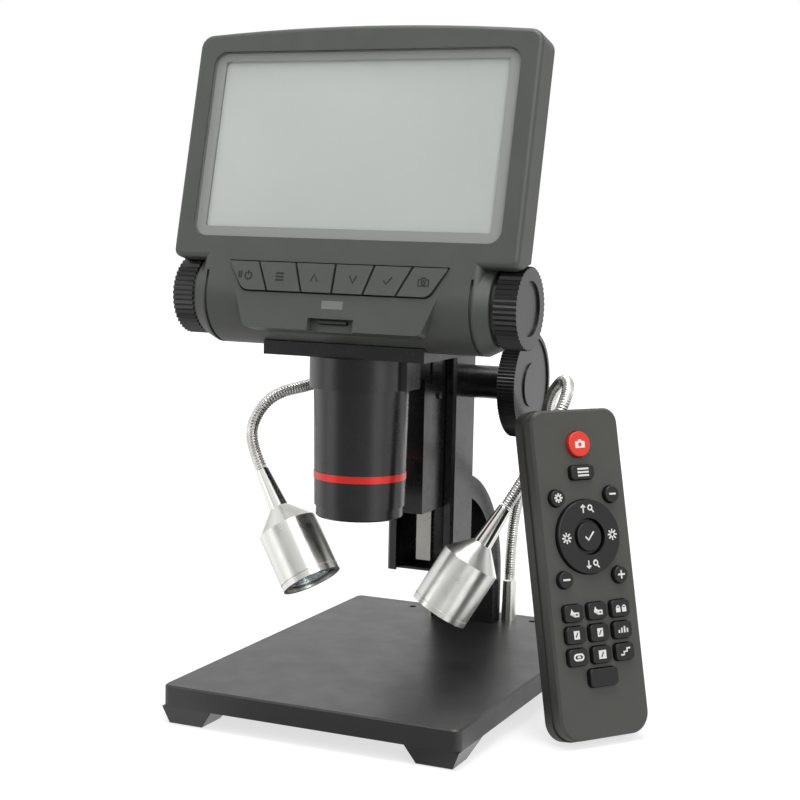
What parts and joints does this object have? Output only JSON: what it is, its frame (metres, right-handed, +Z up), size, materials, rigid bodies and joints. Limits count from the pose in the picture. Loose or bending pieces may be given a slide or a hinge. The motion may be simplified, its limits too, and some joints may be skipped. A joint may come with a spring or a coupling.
{
  "type": "lcd digital microscope",
  "caption": "Desktop digital microscope: tilted screen over a focus drum and lens barrel on a geared column, with gooseneck lamps and a remote control.",
  "frame": {"origin": "on the stage's top face, where the optical axis meets it", "axes": "+Z up along the optical axis, +X to the right, the front toward -Y"},
  "size_m": [0.171, 0.1644, 0.2518],
  "materials": {
    "black_aluminium": "satin black anodised",
    "plate_black": "fine satin black coating",
    "foot_plastic": "matte black moulding",
    "rubber": "matte rubber",
    "steel": "machined steel",
    "lamp_metal": "polished and brushed",
    "neck_steel": "bright spiral-wound steel",
    "casing_plastic": "fine matte texture",
    "key_plastic": "matte with dark engraved symbols",
    "knob_plastic": "matte, ridged",
    "window_plastic": "clear glossy sheet",
    "lcd": "pale grey-green display",
    "board": "solder-masked circuit board",
    "red_ring": "red anodised",
    "glass": "clear optical glass",
    "led": "LED on a round board",
    "ir_plastic": "smoked infrared window",
    "card_plastic": "glossy black",
    "remote_plastic": "fine matte texture",
    "remote_rubber": "gloss-coated rubber keys",
    "remote_key": "glossy black",
    "remote_red": "glossy red"
  },
  "bodies": {
    "stand": {"base_plate": "plate_black", "base_feet": "foot_plastic", "foot_pads": "rubber", "support_arm": "black_aluminium", "column": "black_aluminium", "column_caps": "black_aluminium", "stand_screws": "steel", "pinion_housing": "black_aluminium", "left_lamp_ferrule": "lamp_metal", "right_lamp_ferrule": "lamp_metal"},
    "height_drive": {"pinion_shaft": "steel", "height_wheel": "knob_plastic"},
    "left_neck": {"left_gooseneck": "neck_steel"},
    "left_lamp": {"left_lamp_sleeve": "lamp_metal", "left_lamp_shell": "lamp_metal", "left_lamp_lens": "glass", "left_lamp_led": "led"},
    "right_neck": {"right_gooseneck": "neck_steel"},
    "right_lamp": {"right_lamp_sleeve": "lamp_metal", "right_lamp_shell": "lamp_metal", "right_lamp_lens": "glass", "right_lamp_led": "led"},
    "head": {"carriage": "black_aluminium", "rack": "steel", "head_bracket": "black_aluminium", "bracket_screws": "steel", "tension_block": "black_aluminium", "saddle_plate": "black_aluminium", "front_bezel": "casing_plastic", "rear_cover": "casing_plastic", "screen_window": "window_plastic", "lcd_panel": "lcd", "main_board": "board", "key_board": "board", "ir_window": "ir_plastic", "card_socket": "steel", "case_screws": "steel", "lens_collar": "black_aluminium", "lens_barrel": "black_aluminium", "barrel_ring": "red_ring", "sensor_board": "board"},
    "focus": {"focus_shaft": "steel", "left_focus_knob": "knob_plastic", "right_focus_knob": "knob_plastic"},
    "lens": {"lens_carriage": "black_aluminium", "objective_lens": "glass"},
    "card": {"memory_card": "card_plastic"},
    "remote": {"remote_front_shell": "remote_plastic", "remote_back_shell": "remote_plastic", "remote_board": "board", "remote_keypad": "remote_rubber"},
    "remote_red": {"remote_snapshot_key": "remote_red"},
    "remote_ring": {"remote_ring_key": "remote_key"},
    "remote_centre": {"remote_centre_key": "remote_key"},
    "power_key": {"key_power": "key_plastic"},
    "menu_key": {"key_menu": "key_plastic"},
    "up_key": {"key_up": "key_plastic"},
    "down_key": {"key_down": "key_plastic"},
    "confirm_key": {"key_confirm": "key_plastic"},
    "snapshot_key": {"key_snapshot": "key_plastic"}
  },
  "joints": [
    {"name": "head_height", "type": "slide", "parent": "stand", "child": "head", "axis": [0, 0, 1], "range_m": [-0.003, 0.045]},
    {"name": "wheel_turn", "type": "hinge", "parent": "stand", "child": "height_drive", "pos_m": [0, 0.068, 0.106], "axis": [1, 0, 0], "range_deg": [-537.5, 36]},
    {"name": "focus_turn", "type": "hinge", "parent": "head", "child": "focus", "pos_m": [0, -0.0074, 0.1403], "axis": [1, 0, 0], "range_deg": [-70, 70]},
    {"name": "lens_focus", "type": "slide", "parent": "head", "child": "lens", "axis": [0, 0, 1], "range_m": [-0.005, 0.005]},
    {"name": "card_slide", "type": "slide", "parent": "head", "child": "card", "axis": [0, -0.9724, 0.2334], "range_m": [0, 0.016]},
    {"name": "left_lamp_swing", "type": "hinge", "parent": "stand", "child": "left_neck", "pos_m": [-0.0173, 0.1134, 0.017], "axis": [0, 0, 1], "range_deg": [-30, 0]},
    {"name": "left_lamp_tilt", "type": "hinge", "parent": "left_neck", "child": "left_lamp", "pos_m": [-0.0431, 0.0038, 0.0748], "axis": [-0.2723, -0.9622, 0], "range_deg": [-10, 8]},
    {"name": "right_lamp_lean", "type": "hinge", "parent": "stand", "child": "right_neck", "pos_m": [0.0173, 0.1134, 0.017], "axis": [1, 0, 0], "range_deg": [-10, 0]},
    {"name": "right_lamp_tilt", "type": "hinge", "parent": "right_neck", "child": "right_lamp", "pos_m": [0.0444, 0.0354, 0.0636], "axis": [-0.4689, 0.8833, 0], "range_deg": [-10, 10]},
    {"name": "remote_lift", "type": "slide", "parent": "stand", "child": "remote", "axis": [0, 0, 1], "range_m": [0, 0.06]},
    {"name": "power_key_press", "type": "slide", "parent": "head", "child": "power_key", "axis": [0, 0.9724, -0.2334], "range_m": [0, 0.0008], "stiffness_N_per_m": 400, "springref_m": -0.0004},
    {"name": "menu_key_press", "type": "slide", "parent": "head", "child": "menu_key", "axis": [0, 0.9724, -0.2334], "range_m": [0, 0.0008], "stiffness_N_per_m": 400, "springref_m": -0.0004},
    {"name": "up_key_press", "type": "slide", "parent": "head", "child": "up_key", "axis": [0, 0.9724, -0.2334], "range_m": [0, 0.0008], "stiffness_N_per_m": 400, "springref_m": -0.0004},
    {"name": "down_key_press", "type": "slide", "parent": "head", "child": "down_key", "axis": [0, 0.9724, -0.2334], "range_m": [0, 0.0008], "stiffness_N_per_m": 400, "springref_m": -0.0004},
    {"name": "confirm_key_press", "type": "slide", "parent": "head", "child": "confirm_key", "axis": [0, 0.9724, -0.2334], "range_m": [0, 0.0008], "stiffness_N_per_m": 400, "springref_m": -0.0004},
    {"name": "snapshot_key_press", "type": "slide", "parent": "head", "child": "snapshot_key", "axis": [0, 0.9724, -0.2334], "range_m": [0, 0.0008], "stiffness_N_per_m": 400, "springref_m": -0.0004},
    {"name": "remote_red_press", "type": "slide", "parent": "remote", "child": "remote_red", "axis": [-0.7793, 0.5788, -0.2402], "range_m": [0, 0.0008], "stiffness_N_per_m": 400, "springref_m": -0.0004},
    {"name": "remote_ring_press", "type": "slide", "parent": "remote", "child": "remote_ring", "axis": [-0.7793, 0.5788, -0.2402], "range_m": [0, 0.0008], "stiffness_N_per_m": 400, "springref_m": -0.0004},
    {"name": "remote_centre_press", "type": "slide", "parent": "remote", "child": "remote_centre", "axis": [-0.7793, 0.5788, -0.2402], "range_m": [0, 0.0008], "stiffness_N_per_m": 400, "springref_m": -0.0004}
  ],
  "couplings": [
    {"joint": "wheel_turn", "follows": "head_height", "rad_per_m": -208.33},
    {"joint": "lens_focus", "follows": "focus_turn", "m_per_rad": 0.004}
  ]
}
